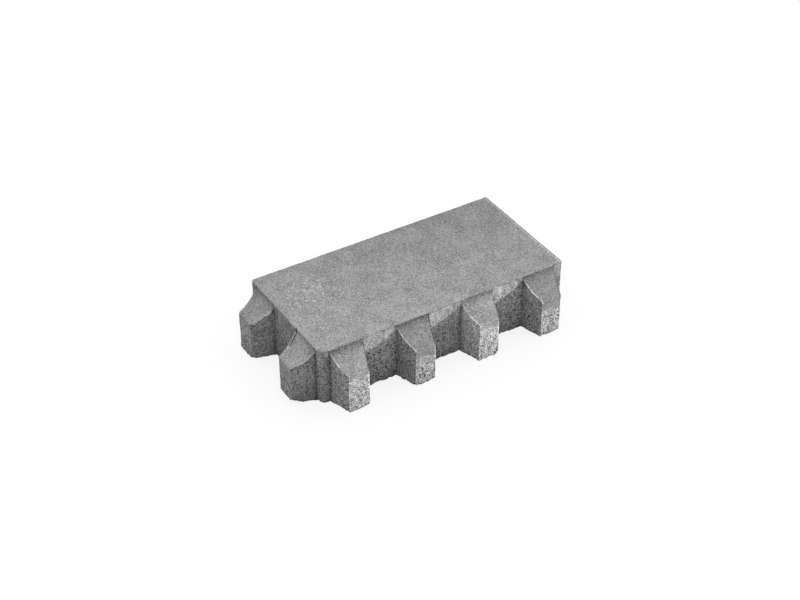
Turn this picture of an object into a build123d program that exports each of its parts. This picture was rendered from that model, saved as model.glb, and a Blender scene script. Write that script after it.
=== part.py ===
"""Permeable concrete paver: a rectangular block pressed in one piece, with spacer lugs on two sides.

The frame is in millimetres, +Z up. The origin is the centre of the plain block's underside, X runs
along its length, the lugged long side faces -Y and the lugged end faces -X. The other long side and
the other end are plain, so the lugs of one paver bear on the plain walls of its neighbours.
"""

import os
from math import acos, cos, degrees, radians, sin, tan

from build123d import *

# The plain block, without its lugs
BLOCK_LENGTH = 350.0
BLOCK_WIDTH = 171.0
BLOCK_HEIGHT = 80.0
LUGGED_CORNER_RADIUS = 9.0  # upright corner between the two lugged walls
PLAIN_CORNER_RADIUS = 2.5  # the other upright corners
ARRIS = 1.5  # bevel round the wearing face

# One spacer lug: a tapered block whose top falls away from the wall
LUG_REACH = 29.0  # from wall to tip, which is the joint's width when laid
LUG_ROOT_WIDTH = 46.5  # at the wall
LUG_TIP_WIDTH = 28.5  # at the tip
LUG_TIP_RADIUS = 2.5  # upright edges of the tip
LUG_SHOULDER = 5.0  # plain wall left between the wearing face and the hollow
LUG_HOLLOW_RADIUS = 40.0  # hollow in which the top leaves the wall
LUG_HOLLOW_REACH = 21.0  # distance from the wall at which the hollow runs out into the slope
LUG_SLOPE = 20.0  # fall of the straight part of the top, in degrees below level
LUG_NOSE_RADIUS = 3.0  # rounded edge between the slope and the tip
LUG_ROOT_DEPTH = 6.0  # length of the lug that lies inside the block

# How the lugs are set out, centred on their walls
SIDE_LUGS = 4
SIDE_LUG_PITCH = 92.5
END_LUGS = 2
END_LUG_PITCH = 102.0


def block() -> Part:
    """The plain block: rounded upright corners and a bevelled wearing face."""
    outline = Rectangle(BLOCK_LENGTH, BLOCK_WIDTH)
    lugged_corner = (-BLOCK_LENGTH / 2, -BLOCK_WIDTH / 2)
    plain_corners = outline.vertices().sort_by_distance(lugged_corner)[1:]
    outline = fillet(plain_corners, PLAIN_CORNER_RADIUS)
    outline = fillet(outline.vertices().sort_by_distance(lugged_corner)[0], LUGGED_CORNER_RADIUS)
    body = extrude(outline, BLOCK_HEIGHT)
    return chamfer(body.faces().sort_by(Axis.Z)[-1].edges(), ARRIS)


def lug_plan() -> Sketch:
    """Outline of a lug from above: the wall is on Y = 0 and the tip faces -Y."""
    outline = make_face(
        Polyline(
            (-LUG_ROOT_WIDTH / 2, LUG_ROOT_DEPTH),
            (-LUG_ROOT_WIDTH / 2, 0),
            (-LUG_TIP_WIDTH / 2, -LUG_REACH),
            (LUG_TIP_WIDTH / 2, -LUG_REACH),
            (LUG_ROOT_WIDTH / 2, 0),
            (LUG_ROOT_WIDTH / 2, LUG_ROOT_DEPTH),
            close=True,
        )
    )
    tip_corners = outline.vertices().sort_by(Axis.Y)[:2]
    return fillet(tip_corners, LUG_TIP_RADIUS)


def lug_section() -> Sketch:
    """Outline of a lug from its side, in the plane's X = outwards and Y = up.

    From the wall the top falls steeply, flattens through a shallow hollow and then runs straight down
    the slope to the rounded nose above the tip. The hollow's centre lies above the slope, so that the
    hollow ends in line with it.
    """
    fall = radians(LUG_SLOPE)
    shoulder = BLOCK_HEIGHT - LUG_SHOULDER
    centre_out = LUG_HOLLOW_REACH + LUG_HOLLOW_RADIUS * sin(fall)
    wall_angle = acos(centre_out / LUG_HOLLOW_RADIUS)
    centre_height = shoulder + LUG_HOLLOW_RADIUS * sin(wall_angle)
    hollow_end = (LUG_HOLLOW_REACH, centre_height - LUG_HOLLOW_RADIUS * cos(fall))
    tip_height = hollow_end[1] - (LUG_REACH - LUG_HOLLOW_REACH) * tan(fall)
    hollow_turn = 90.0 - LUG_SLOPE - degrees(wall_angle)
    hollow = CenterArc(
        (centre_out, centre_height), LUG_HOLLOW_RADIUS, 180.0 + degrees(wall_angle), hollow_turn
    )
    rest = Polyline(
        hollow_end,
        (LUG_REACH, tip_height),
        (LUG_REACH, 0),
        (-LUG_ROOT_DEPTH, 0),
        (-LUG_ROOT_DEPTH, shoulder),
        (0, shoulder),
    )
    outline = make_face(hollow + rest)
    nose = outline.vertices().sort_by_distance((LUG_REACH, tip_height))[0]
    return fillet(nose, LUG_NOSE_RADIUS)


def lug() -> Part:
    """One lug, standing on Z = 0 with its wall on Y = 0 and its tip facing -Y."""
    across = Plane(origin=(0, 0, 0), x_dir=(0, -1, 0), z_dir=(-1, 0, 0))
    swept = extrude(across * lug_section(), LUG_ROOT_WIDTH / 2, both=True)
    return extrude(lug_plan(), BLOCK_HEIGHT) & swept


def lug_places() -> list[Location]:
    """Where the lugs stand: a row on the long side facing -Y and a row on the end facing -X."""
    side = Pos(0, -BLOCK_WIDTH / 2, 0)
    end = Pos(-BLOCK_LENGTH / 2, 0, 0) * Rot(0, 0, -90)
    return [
        wall * place
        for wall, pitch, count in ((side, SIDE_LUG_PITCH, SIDE_LUGS), (end, END_LUG_PITCH, END_LUGS))
        for place in GridLocations(pitch, 0, count, 1)
    ]


def paver() -> Part:
    """The whole paver, one solid."""
    spacer = lug()
    return block() + [place * spacer for place in lug_places()]


os.makedirs("parts", exist_ok=True)
export_step(paver(), "parts/paver.step")
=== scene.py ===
"""Dresses the permeable paver: raw grey concrete pressed in one piece, with spacer lugs on two sides.

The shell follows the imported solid's sizes. It is worked out as numpy surfaces for the walls, the lug
tops, the wearing face and the underside, which are welded into one closed skin. The skin then gets the
worn edges, mould burrs, broken corners and open pores that a paver has when it leaves the press.
"""

import logging
import math
from dataclasses import dataclass, field
from enum import Enum

import bpy
import numpy as np
from mathutils import Matrix, Vector

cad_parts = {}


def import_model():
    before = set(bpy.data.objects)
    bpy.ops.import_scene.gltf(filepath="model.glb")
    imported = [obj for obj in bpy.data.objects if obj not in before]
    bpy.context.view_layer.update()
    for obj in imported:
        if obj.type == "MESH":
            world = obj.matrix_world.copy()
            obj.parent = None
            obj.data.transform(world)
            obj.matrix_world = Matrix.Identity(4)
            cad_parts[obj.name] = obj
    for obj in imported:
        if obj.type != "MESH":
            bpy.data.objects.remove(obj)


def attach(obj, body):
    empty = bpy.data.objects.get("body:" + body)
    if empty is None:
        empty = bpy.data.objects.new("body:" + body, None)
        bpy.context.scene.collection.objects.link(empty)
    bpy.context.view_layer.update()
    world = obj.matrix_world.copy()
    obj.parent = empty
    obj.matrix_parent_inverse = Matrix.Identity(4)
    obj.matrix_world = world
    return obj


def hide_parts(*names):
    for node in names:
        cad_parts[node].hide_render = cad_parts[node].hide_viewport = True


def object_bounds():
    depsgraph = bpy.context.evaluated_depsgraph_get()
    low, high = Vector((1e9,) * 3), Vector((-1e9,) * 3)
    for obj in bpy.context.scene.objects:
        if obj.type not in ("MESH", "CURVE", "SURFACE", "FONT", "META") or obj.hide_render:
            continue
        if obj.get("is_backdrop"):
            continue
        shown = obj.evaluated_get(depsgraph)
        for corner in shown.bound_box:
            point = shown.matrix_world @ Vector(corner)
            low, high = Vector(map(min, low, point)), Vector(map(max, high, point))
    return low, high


Array = np.ndarray
Tree = bpy.types.NodeTree
Socket = bpy.types.NodeSocket
LOG = logging.getLogger("paver")
MM = 0.001
SHELL_FIELDS = ("pressed", "pore", "tone", "voids", "flecks")


class Skin(Enum):
    """How a stretch of surface left the press, as the share of fine pressed skin on it."""

    PRESSED = 1.0
    DRAWN = 0.0


# Numbers and noise


def linear(code: str) -> tuple[float, float, float, float]:
    """An sRGB hex colour as a linear RGBA colour.

    Args:
        code: six hex digits.
    Returns:
        Linear red, green, blue and an alpha of 1.
    """
    parts = [int(code[i : i + 2], 16) / 255 for i in (0, 2, 4)]
    red, green, blue = [p / 12.92 if p <= 0.04045 else ((p + 0.055) / 1.055) ** 2.4 for p in parts]
    return red, green, blue, 1.0


def ramp(values: Array, low: float, high: float) -> Array:
    """Smooth step from 0 at low to 1 at high: 3t^2 - 2t^3 of the clamped share t."""
    t = np.clip((values - low) / (high - low), 0.0, 1.0)
    return t * t * (3 - 2 * t)


def lattice(cells: Array, seed: int) -> Array:
    """A repeatable random number in 0..1 for each whole-number lattice cell.

    The three whole numbers and the seed are mixed by multiplying and folding bits.

    Args:
        cells: whole numbers, one row of three for each point.
        seed: which of the many random fields.
    Returns:
        One number for each row.
    """
    c = cells.astype(np.uint32)
    mixed = c[:, 0] * np.uint32(73856093) ^ c[:, 1] * np.uint32(19349663) ^ c[:, 2] * np.uint32(83492791)
    mixed ^= np.uint32((seed * 2654435761 + 97) % 2**32)
    for shift, factor in ((15, 2246822519), (13, 3266489917), (16, 668265263)):
        mixed = (mixed ^ (mixed >> np.uint32(shift))) * np.uint32(factor)
    return (mixed ^ (mixed >> np.uint32(15))) / 2**32


def noise(points: Array, wavelength: float, seed: int, octaves: int = 1) -> Array:
    """Smooth random field in about -1..1.

    Random numbers on the corners of cubes of the wavelength's size are blended with quintic weights.
    Each further octave halves both the wavelength and the height.

    Args:
        points: places in millimetres, one row each.
        wavelength: size of the largest lumps in millimetres.
        seed: which field.
        octaves: how many layers are added.
    Returns:
        One number for each point.
    """
    total = np.zeros(len(points))
    for octave in range(octaves):
        place = points * 2**octave / wavelength
        cell = np.floor(place).astype(np.int64)
        part = place - cell
        blend = part**3 * (part * (part * 6 - 15) + 10)
        value = np.zeros(len(points))
        for corner in np.ndindex(2, 2, 2):
            weight = np.where(np.array(corner, bool), blend, 1 - blend).prod(axis=1)
            value += weight * lattice(cell + np.array(corner), seed + 31 * octave)
        total += (value * 2 - 1) / 2**octave
    return total


def nearest_grain(points: Array, cell: float, seed: int) -> tuple[Array, Array]:
    """Distance to the nearest of many scattered centres, one at a random place in each cube.

    Args:
        points: places in millimetres.
        cell: side of the cubes in millimetres.
        seed: which scatter.
    Returns:
        The distance in millimetres, and a random number that belongs to the nearest centre.
    """
    place = points / cell
    home = np.floor(place).astype(np.int64)
    best = np.full(len(points), 9.0)
    label = np.zeros(len(points))
    for step in np.ndindex(3, 3, 3):
        there = home + np.array(step) - 1
        centre = there + np.stack([lattice(there, seed + axis) for axis in range(3)], axis=1)
        gap = np.linalg.norm(place - centre, axis=1)
        closer = gap < best
        best = np.where(closer, gap, best)
        label = np.where(closer, lattice(there, seed + 3), label)
    return best * cell, label


@dataclass(frozen=True)
class Lumps:
    """A random field on the shell.

    Attributes:
        size: size of the largest lumps in millimetres.
        seed: which field.
        octaves: how many layers are added.
        squeeze: factor on heights, below 1 for lumps drawn out upwards and above 1 for flat ones.
    """

    size: float
    seed: int
    octaves: int = 2
    squeeze: float = 1.0

    def at(self, points: Array) -> Array:
        """The field at each point, in about -1..1."""
        return noise(points * np.array([1, 1, self.squeeze]), self.size, self.seed, self.octaves)


# The shell's sizes


@dataclass(frozen=True)
class LugForm:
    """One spacer lug: tapered in plan, its top falling from the wall through a hollow to a rounded nose.

    Lengths are in millimetres.

    Attributes:
        reach: distance from the wall to the tip.
        root: width at the wall.
        tip: width at the tip.
        start: height at which the top leaves the wall.
        hollow: radius of the hollow.
        hollow_reach: distance from the wall at which the hollow runs out into the slope.
        slope: fall of the straight part of the top, in degrees below level.
        nose: radius of the nose.
        across: number of faces across the lug.
        down: number of faces down its top.
    """

    reach: float = 29.0
    root: float = 46.5
    tip: float = 28.5
    start: float = 75.0
    hollow: float = 40.0
    hollow_reach: float = 21.0
    slope: float = 20.0
    nose: float = 3.0
    across: int = 36
    down: int = 34

    def columns(self) -> Array:
        """Places across the lug from -1 to 1, closer together towards its two edges."""
        even = np.linspace(-1, 1, self.across + 1)
        return np.sign(even) * (1 - (1 - np.abs(even)) ** 1.3)

    def half_width(self, out: Array | float) -> Array | float:
        """Half the lug's width at a distance out from the wall: straight from root to tip."""
        return (self.root + (self.tip - self.root) * out / self.reach) / 2

    def profile(self) -> tuple[Array, Array]:
        """The line of the lug's top from the wall to its tip, evenly spaced along its length.

        First the hollow, an arc whose centre lies above the slope and which ends in line with it, then
        the straight slope, then the nose, an arc that ends upright on the tip.

        Returns:
            Distances out from the wall, and heights above the underside.
        """
        fall = math.radians(self.slope)
        centre_out = self.hollow_reach + self.hollow * math.sin(fall)
        wall_angle = math.acos(centre_out / self.hollow)
        centre_high = self.start + self.hollow * math.sin(wall_angle)
        first = self.hollow * (math.pi / 2 - fall - wall_angle)
        slope_out = self.reach - self.nose * (1 - math.sin(fall))
        second = first + (slope_out - self.hollow_reach) / math.cos(fall)
        third = second + self.nose * (math.pi / 2 - fall)
        run = np.linspace(0.0, third, self.down + 1)
        on_hollow = wall_angle + np.minimum(run, first) / self.hollow
        on_slope = np.clip(run - first, 0, second - first)
        on_nose = fall + np.maximum(run - second, 0) / self.nose
        out = centre_out - self.hollow * np.cos(on_hollow) + on_slope * math.cos(fall)
        out += self.nose * (np.sin(on_nose) - math.sin(fall))
        high = centre_high - self.hollow * np.sin(on_hollow) - on_slope * math.sin(fall)
        high += self.nose * (np.cos(on_nose) - math.cos(fall))
        return out, high


@dataclass(frozen=True)
class Chip:
    """A broken corner at a lug's foot: what stands beyond a plane there is brought back to the plane.

    Attributes:
        side: place across the lug, from -1 at its first flank to 1 at its second.
        facing: direction out of the broken face, as parts along the wall, out of it and up.
        depth: distance of the break from the unbroken corner.
        size: radius of the ball that the break stays in.
        reach: place along the lug, from 0 at the wall to 1 at the tip.
    """

    side: float
    facing: tuple[float, float, float]
    depth: float
    size: float = 14.0
    reach: float = 1.0


@dataclass(frozen=True)
class LugMarks:
    """What the press left on one lug. Tones are factors of brightness, lengths are in millimetres.

    Attributes:
        skin: how far fine skin reaches down the tip.
        slope_tone: brightness of the slope.
        hollow_shade: share of brightness lost where the top meets the wall, as painted shade in the
            hollow.
        tip_tone: brightness of the tip's open concrete.
        flank_tone: brightness of the flanks.
        burrs: heights of the burrs on the first and the second edge of the slope.
        gleam: share of brightness that the two burrs gain, as a painted highlight; below 0 it is painted
            shade.
        ground_loss: share of brightness that the flanks lose at the ground, as painted shade; below 0 they
            gain.
        voids: how open the flanks are, from 0 to 1.
        lip: how far the slope's skin hangs over the second flank, painted as lit as the slope.
        rim: length of the painted highlight down the second side of the tip.
        seam: height of a seam across the tip, where the fill came in two goes, or 0 for none.
        groove: length of the groove behind the first edge's burr, from the wall, or 0 for none.
        chips: corners broken off at the foot.
    """

    skin: float
    slope_tone: float
    hollow_shade: float
    tip_tone: float
    flank_tone: float
    burrs: tuple[float, float] = (0.35, 0.2)
    gleam: tuple[float, float] = (0.9, -0.4)
    ground_loss: float = 0.12
    voids: float = 0.65
    lip: float = 0.0
    rim: float = 0.0
    seam: float = 0.0
    groove: float = 0.0
    chips: tuple[Chip, ...] = ()


class LugLook(Enum):
    """The kinds of lug on this paver: open or skinned tips in turn on the long side, two on the end."""

    OPEN = LugMarks(
        skin=5.0,
        slope_tone=0.94,
        hollow_shade=0.46,
        tip_tone=1.50,
        flank_tone=1.10,
        rim=30.0,
        chips=(Chip(1, (0.60, 0.35, -0.72), 2.6),),
    )
    SEAMED = LugMarks(
        skin=12.0,
        slope_tone=0.74,
        hollow_shade=0.47,
        tip_tone=1.24,
        flank_tone=0.84,
        ground_loss=0.0,
        voids=0.9,
        rim=22.0,
        seam=27.0,
        chips=(Chip(-1, (-0.40, 0.50, -0.77), 2.4), Chip(1, (0.60, 0.40, -0.70), 1.8)),
    )
    PALE = LugMarks(
        skin=6.5,
        slope_tone=0.95,
        hollow_shade=0.44,
        tip_tone=1.45,
        flank_tone=1.38,
        rim=30.0,
        chips=(Chip(1, (0.60, 0.40, -0.70), 2.8),),
    )
    SKINNED = LugMarks(
        skin=14.0,
        slope_tone=0.74,
        hollow_shade=0.40,
        tip_tone=1.21,
        flank_tone=0.86,
        gleam=(1.0, -0.45),
        ground_loss=-0.1,
        voids=0.8,
        chips=(Chip(1, (0.60, 0.40, -0.70), 1.6),),
    )
    FAR_END = LugMarks(
        skin=4.0,
        slope_tone=0.95,
        hollow_shade=0.18,
        tip_tone=1.15,
        flank_tone=0.96,
        burrs=(0.2, 0.35),
        gleam=(0.1, 0.35),
        ground_loss=0.0,
        voids=0.3,
        lip=2.4,
        chips=(Chip(0, (0.0, 0.60, -0.80), 1.0, 24.0), Chip(1, (0.50, 0.50, -0.70), 2.2)),
    )
    NEAR_END = LugMarks(
        skin=5.0,
        slope_tone=1.05,
        hollow_shade=0.18,
        tip_tone=1.06,
        flank_tone=1.00,
        burrs=(0.9, 0.3),
        gleam=(0.9, 0.3),
        ground_loss=0.54,
        voids=0.2,
        lip=0.8,
        groove=14.0,
        chips=(
            Chip(0, (0.0, 0.60, -0.80), 3.6, 24.0),
            Chip(1, (0.50, 0.50, -0.70), 6.0),
            Chip(1, (0.48, 0.15, -0.87), 1.3, 18.0, 0.5),
        ),
    )


@dataclass(frozen=True)
class LugPlace:
    """One lug on its wall: its place along the wall in millimetres, and its looks."""

    centre: float
    look: LugLook


@dataclass(frozen=True)
class Wall:
    """One straight wall of the block, walked with the block on the left.

    Attributes:
        along: unit direction of the walk in plan.
        out: unit direction out of the wall.
        offset: distance of the wall from the block's centre.
        begin: place along the wall where its straight part begins.
        end: place where it ends.
        turn: radius of the corner after the wall.
        spacing: distance between the shell's columns.
        lugs: the lugs on the wall, in the order of the walk.
    """

    along: tuple[float, float]
    out: tuple[float, float]
    offset: float
    begin: float
    end: float
    turn: float
    spacing: float
    lugs: tuple[LugPlace, ...] = ()

    def place(self, along: Array, out: Array) -> Array:
        """Plan positions for distances along and out of the wall."""
        far = np.asarray(out)[..., None] + self.offset
        return np.asarray(along)[..., None] * np.array(self.along) + far * np.array(self.out)


@dataclass(frozen=True)
class Pits:
    """Scattered round pits: one in a share of all cells of this size, up to a radius and a depth."""

    cell: float
    share: float
    radius: float
    depth: float


@dataclass
class Patch:
    """A grid or strip of the shell before welding.

    Attributes:
        points: places in millimetres.
        faces: corner indices, three or four to a row.
        pressed: share of fine pressed skin at each point.
        burr: height of the mould burr at each point.
        foot: nearness to the lower edge at each point, 1 on it.
    """

    points: Array
    faces: Array
    pressed: Array
    burr: Array
    foot: Array


@dataclass
class LugZones:
    """Where each point of the shell lies on one lug.

    Attributes:
        along: distance along the wall from the lug's middle.
        out: distance out from the wall.
        half: half the lug's width at that distance.
        top: whether the point is on the slope, or on the strip of wall above it.
        tip: whether it is on the tip.
        flank: whether it is on a flank.
    """

    along: Array
    out: Array
    half: Array
    top: Array
    tip: Array
    flank: Array


def grid_faces(rows: int, columns: int, closed: bool, flipped: bool) -> Array:
    """Four-cornered faces of a grid whose points are listed row after row.

    Args:
        rows: number of rows of points.
        columns: number of points in a row.
        closed: whether the last column joins the first.
        flipped: whether the faces turn the other way.
    Returns:
        An array of corner indices.
    """
    low = np.arange(rows - 1)[:, None] * columns
    here = np.arange(columns if closed else columns - 1)[None, :]
    after = (here + 1) % columns
    faces = np.stack([low + here, low + after, low + columns + after, low + columns + here], axis=-1)
    faces = faces.reshape(-1, 4)
    return faces[:, ::-1] if flipped else faces


# The shell


@dataclass
class PaverShell:
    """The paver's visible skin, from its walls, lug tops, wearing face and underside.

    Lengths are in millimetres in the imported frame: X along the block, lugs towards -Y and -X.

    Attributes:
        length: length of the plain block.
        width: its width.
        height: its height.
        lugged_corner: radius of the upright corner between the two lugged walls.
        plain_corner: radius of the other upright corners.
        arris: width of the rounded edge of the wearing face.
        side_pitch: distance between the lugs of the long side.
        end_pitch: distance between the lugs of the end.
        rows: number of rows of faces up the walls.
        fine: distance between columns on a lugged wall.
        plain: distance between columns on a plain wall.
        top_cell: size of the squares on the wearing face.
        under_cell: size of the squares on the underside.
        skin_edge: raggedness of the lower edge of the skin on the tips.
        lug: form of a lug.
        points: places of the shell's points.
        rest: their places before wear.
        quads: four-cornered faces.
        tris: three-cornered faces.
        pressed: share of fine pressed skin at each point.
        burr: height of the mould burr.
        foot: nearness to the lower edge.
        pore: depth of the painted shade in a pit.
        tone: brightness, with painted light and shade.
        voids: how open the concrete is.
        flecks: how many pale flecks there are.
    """

    length: float = 350.0
    width: float = 171.0
    height: float = 80.0
    lugged_corner: float = 9.0
    plain_corner: float = 2.5
    arris: float = 2.2
    side_pitch: float = 92.5
    end_pitch: float = 102.0
    rows: int = 56
    fine: float = 1.35
    plain: float = 1.9
    top_cell: float = 2.4
    under_cell: float = 4.0
    skin_edge: Lumps = Lumps(9.0, 11)
    lug: LugForm = field(default_factory=LugForm)
    points: Array = field(init=False)
    rest: Array = field(init=False)
    quads: Array = field(init=False)
    tris: Array = field(init=False)
    pressed: Array = field(init=False)
    burr: Array = field(init=False)
    foot: Array = field(init=False)
    pore: Array = field(init=False)
    tone: Array = field(init=False)
    voids: Array = field(init=False)
    flecks: Array = field(init=False)

    def walls(self) -> list[Wall]:
        """Sets out the walls and the lugs on them, each row of lugs centred on its wall.

        Returns:
            The four walls in the order of the walk: front, right end, rear, left end.
        """
        x, y = self.length / 2, self.width / 2
        wide, small = self.lugged_corner, self.plain_corner
        looks = (LugLook.OPEN, LugLook.SEAMED, LugLook.PALE, LugLook.SKINNED)
        front = tuple(LugPlace((i - 1.5) * self.side_pitch, look) for i, look in enumerate(looks))
        ends = (LugLook.FAR_END, LugLook.NEAR_END)
        left = tuple(LugPlace((i - 0.5) * self.end_pitch, look) for i, look in enumerate(ends))
        return [
            Wall((1, 0), (0, -1), y, wide - x, x - small, small, self.fine, front),
            Wall((0, 1), (1, 0), x, small - y, y - small, small, self.plain),
            Wall((-1, 0), (0, 1), y, small - x, x - small, small, self.plain),
            Wall((0, -1), (-1, 0), x, small - y, y - wide, wide, self.fine, left),
        ]

    def lugs(self) -> list[tuple[Wall, LugPlace]]:
        """Every lug with its wall, in the order of the walk."""
        return [(wall, lug) for wall in self.walls() for lug in wall.lugs]

    def side_edge(self) -> float:
        """Distance from the block's middle to the far edge of an outer lug on the long side."""
        return 1.5 * self.side_pitch + self.lug.root / 2

    def end_edge(self) -> float:
        """Distance from the block's middle to the far edge of a lug on the end."""
        return 0.5 * self.end_pitch + self.lug.root / 2

    def stretches(self, wall: Wall) -> list[Array]:
        """Divides the plain stretches of a wall evenly, as near to its spacing as they allow.

        Args:
            wall: the wall.
        Returns:
            Places along the wall before, between and after its lugs, one array for each stretch.
        """
        half = self.lug.root / 2
        ends = [wall.begin] + [lug.centre + s * half for lug in wall.lugs for s in (-1, 1)] + [wall.end]
        pairs = zip(ends[::2], ends[1::2])
        return [np.linspace(a, b, max(2, round((b - a) / wall.spacing)) + 1) for a, b in pairs]

    def round_plan(self, wall: Wall) -> tuple[Array, Array]:
        """Plan of the rounded corner after a wall: a quarter circle from its normal to the next one's.

        Args:
            wall: the wall before the corner.
        Returns:
            Plan positions and outward directions, without the last point, which the next wall has.
        """
        steps = max(4, round(1.3 * wall.turn))
        angle = np.linspace(0, math.pi / 2, steps + 1)[:-1, None]
        out = np.cos(angle) * np.array(wall.out) + np.sin(angle) * np.array(wall.along)
        centre = wall.place(wall.end, -wall.turn)
        return centre + wall.turn * out, out

    def rim(self) -> tuple[Array, Array]:
        """The plain block's outline in plan, with points where the lugs' top edges meet it.

        Returns:
            Plan positions and outward directions, once round.
        """
        places, outs = [], []
        across = self.lug.columns() * self.lug.root / 2
        for wall in self.walls():
            runs = self.stretches(wall)
            along = [runs[0][:-1]]
            for lug, run in zip(wall.lugs, runs[1:]):
                along += [lug.centre + across[:-1], run[:-1]]
            line = np.concatenate(along)
            bend, bend_out = self.round_plan(wall)
            places += [wall.place(line, np.zeros(len(line))), bend]
            outs += [np.tile(np.array(wall.out, float), (len(line), 1)), bend_out]
        return np.concatenate(places), np.concatenate(outs)

    def wall_patch(self) -> Patch:
        """Walls, flanks and tips as one surface of two parameters.

        The first runs once round the plan with its lugs, the second is the share of the height there:
        up to the level of the lugs' start on a plain wall, and up to the top's line on a flank or tip.

        Returns:
            The patch, with fine skin as deep on each tip as its looks say.
        """
        out, high = self.lug.profile()
        half = self.lug.half_width(out)
        tip = self.lug.columns()[:-1] * self.lug.tip / 2
        plan, top, skin = [], [], []

        def add(places: Array, height: Array | float, depth: float) -> None:
            """Adds columns of the surface.

            Args:
                places: their plan positions.
                height: how high they reach.
                depth: how far fine skin reaches down from there.
            """
            plan.append(places)
            top.append(np.broadcast_to(height, len(places)))
            skin.append(np.full(len(places), depth))

        for wall in self.walls():
            runs = self.stretches(wall)
            add(wall.place(runs[0][:-1], np.zeros(len(runs[0]) - 1)), self.lug.start, 0.0)
            for lug, run in zip(wall.lugs, runs[1:]):
                add(wall.place(lug.centre - half[:-1], out[:-1]), high[:-1], 0.0)
                far = np.full(len(tip), self.lug.reach)
                add(wall.place(lug.centre + tip, far), high[-1], lug.look.value.skin)
                add(wall.place(lug.centre + half[:0:-1], out[:0:-1]), high[:0:-1], 0.0)
                add(wall.place(run[:-1], np.zeros(len(run) - 1)), self.lug.start, 0.0)
            add(self.round_plan(wall)[0], self.lug.start, 0.0)
        line, crest, depth = np.concatenate(plan), np.concatenate(top), np.concatenate(skin)
        z = np.linspace(0, 1, self.rows + 1)[:, None] * crest
        flat = np.broadcast_to(line, (*z.shape, 2))
        points = np.concatenate([flat, z[..., None]], axis=-1).reshape(-1, 3)
        below = np.tile(crest, len(z)) - z.ravel()
        deep = np.tile(depth, len(z))
        ragged = deep + 4.0 * self.skin_edge.at(points)
        pressed = np.where(deep > 0, ramp(ragged - below, -1.0, 2.5), Skin.DRAWN.value)
        foot = np.clip(1 - z.ravel() / 8, 0, 1) ** 2
        faces = grid_faces(len(z), len(line), True, False)
        return Patch(points, faces, pressed, np.zeros(len(points)), foot)

    def lug_patches(self, wall: Wall, lug: LugPlace) -> list[Patch]:
        """The top and the foot of one lug, each over the same grid.

        One parameter crosses the lug from flank to flank, the other follows the line of the top from
        the wall to the tip. The foot is the same plan laid on the ground.

        Args:
            wall: the lug's wall.
            lug: the lug.
        Returns:
            The top and the foot.
        """
        out, high = self.lug.profile()
        half = self.lug.half_width(out)[:, None]
        u = self.lug.columns()[None, :]
        far = np.broadcast_to(out[:, None], (len(out), u.size))
        plan = wall.place(lug.centre + u * half, far).reshape(-1, 2)
        top = np.concatenate([plan, np.repeat(high, u.size)[:, None]], axis=1)
        sole = np.concatenate([plan, np.zeros((len(plan), 1))], axis=1)
        first, second = lug.look.value.burrs
        edge = np.where(u < 0, first, second) * (np.abs(u) > 0.97)
        burr = (edge * ramp(out, 0.2, 3.0)[:, None]).ravel()
        inside = np.minimum((1 - np.abs(u)) * half, self.lug.reach - far).ravel()
        bare = np.zeros(len(plan))
        upper = grid_faces(self.lug.down + 1, u.size, False, True)
        lower = grid_faces(self.lug.down + 1, u.size, False, False)
        return [
            Patch(top, upper, np.full(len(plan), Skin.PRESSED.value), burr, bare),
            Patch(sole, lower, np.full(len(plan), Skin.DRAWN.value), bare, np.exp(-inside / 2)),
        ]

    def shoulder_patch(self) -> Patch:
        """The last plain strip of wall and the rounded arris, as rings of the rim drawn in and up.

        Returns:
            The patch, whose skin turns from drawn to pressed over the uppermost rings.
        """
        plan, out = self.rim()
        inset = np.array([0.0, 0.0, 0.0, 0.0, 0.0, 0.15, 0.7, self.arris])
        drop = np.array([self.height - self.lug.start, 4.0, 3.0, 2.2, 1.4, 0.6, 0.0, 0.0])
        z = self.height - drop
        pressed = ramp(z, self.height - 3.0, self.height)
        flat = plan[None] - inset[:, None, None] * out[None]
        points = np.concatenate([flat, np.broadcast_to(z[:, None, None], (*flat.shape[:2], 1))], axis=-1)
        count = len(plan)
        bare = np.zeros(count * len(z))
        faces = grid_faces(len(z), count, True, False)
        return Patch(points.reshape(-1, 3), faces, np.repeat(pressed, count), bare, bare)

    def cap_patches(self, z: float, inset: float, cell: float, skin: Skin, foot: float) -> list[Patch]:
        """A flat face inside a ring of the rim: an even grid, and a strip from the ring to the grid.

        Each point of the ring is joined to the nearest point on the grid's border.

        Args:
            z: height of the face.
            inset: how far the ring lies inside the rim.
            cell: size of the grid's squares.
            skin: how the face left the press.
            foot: nearness of the ring to the lower edge.
        Returns:
            The grid and the strip.
        """
        below = skin is Skin.DRAWN
        half = np.array([self.length, self.width]) / 2 - inset - self.lugged_corner / 2
        nx, ny = np.maximum(2, np.round(2 * half / cell)).astype(int)
        xs, ys = np.linspace(-half[0], half[0], nx + 1), np.linspace(-half[1], half[1], ny + 1)
        gx, gy = np.meshgrid(xs, ys)
        flat = np.stack([gx, gy, np.full(gx.shape, z)], axis=-1).reshape(-1, 3)
        bare = np.zeros(len(flat))
        value = np.full(len(flat), skin.value)
        grid = Patch(flat, grid_faces(ny + 1, nx + 1, False, below), value, bare, bare)
        plan, out = self.rim()
        ring = plan - inset * out
        border = np.concatenate(
            [
                np.stack([xs[:-1], np.full(nx, ys[0])], axis=1),
                np.stack([np.full(ny, xs[-1]), ys[:-1]], axis=1),
                np.stack([xs[:0:-1], np.full(nx, ys[-1])], axis=1),
                np.stack([np.full(ny, xs[0]), ys[:0:-1]], axis=1),
            ]
        )
        gap = ring[:, None, :] - border[None, :, :]
        near = (gap**2).sum(axis=-1).argmin(axis=1)
        count = len(ring)
        here = np.arange(count)
        after = (here + 1) % count
        outer = np.stack([here, after, count + near[after]], axis=1)
        inner = np.stack([here, count + near[after], count + near], axis=1)[near != near[after]]
        tris = np.concatenate([outer, inner])
        both = np.concatenate([ring, border])
        strip = np.concatenate([both, np.full((len(both), 1), z)], axis=1)
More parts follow.
